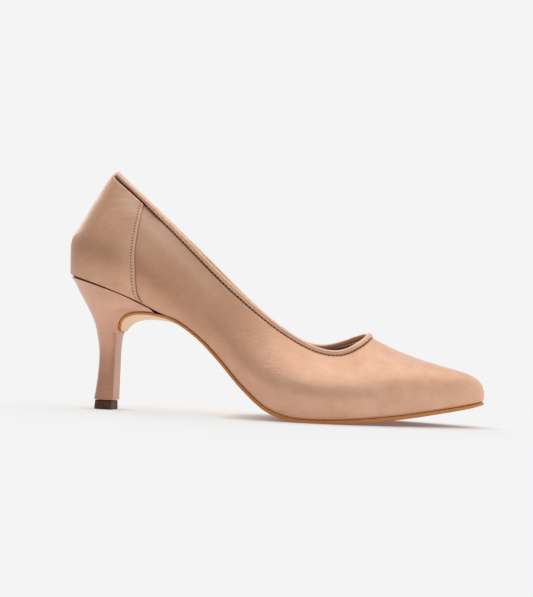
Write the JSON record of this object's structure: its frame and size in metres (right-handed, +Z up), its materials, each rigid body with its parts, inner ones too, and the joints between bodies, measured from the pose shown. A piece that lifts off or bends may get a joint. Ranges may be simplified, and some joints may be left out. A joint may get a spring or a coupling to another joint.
{
  "type": "high heel pump",
  "caption": "Right-foot pump with a pointed toe, low-cut rolled topline, overlaid counter panel, thin outsole with a breast flap and a slim leather-covered heel.",
  "frame": {"origin": "on the floor, under the middle of the shoe's length and width", "axes": "+X from heel to toe, +Y towards the inner side of the foot, +Z up"},
  "size_m": [0.2384, 0.0816, 0.1378],
  "materials": {
    "upper_leather": "smooth nude tan leather, satin",
    "piping_leather": "thin folded leather, satin",
    "lining_leather": "matt lining leather",
    "grip_suede": "suede",
    "insock_leather": "matt leather",
    "fibre_board": "raw fibre board",
    "steel": "plain steel",
    "foam": "soft foam",
    "sole_sheet": "cream sheet with a stained brown edge",
    "heel_core": "moulded ABS",
    "lift_rubber": "hard brown heel rubber",
    "thread": "sewing thread"
  },
  "bodies": {
    "root": {"vamp_and_quarters": "upper_leather", "counter_panel": "upper_leather", "heel_cover": "upper_leather", "topline_piping": "piping_leather", "vamp_lining": "lining_leather", "quarter_lining_lateral": "lining_leather", "quarter_lining_medial": "lining_leather", "heel_grip": "grip_suede", "insock": "insock_leather", "counter_stiffener": "fibre_board", "toe_puff": "fibre_board", "insole_board": "fibre_board", "shank_board": "fibre_board", "steel_shank": "steel", "shank_rivet_rear": "steel", "shank_rivet_front": "steel", "heel_dowel": "steel", "lift_pin": "steel", "heel_screw": "steel", "heel_nail_1": "steel", "heel_nail_2": "steel", "heel_nail_3": "steel", "heel_nail_4": "steel", "heel_cushion": "foam", "ball_cushion": "foam", "bottom_filler": "foam", "outsole": "sole_sheet", "heel_block": "heel_core", "heel_lift": "lift_rubber"}
  },
  "joints": []
}
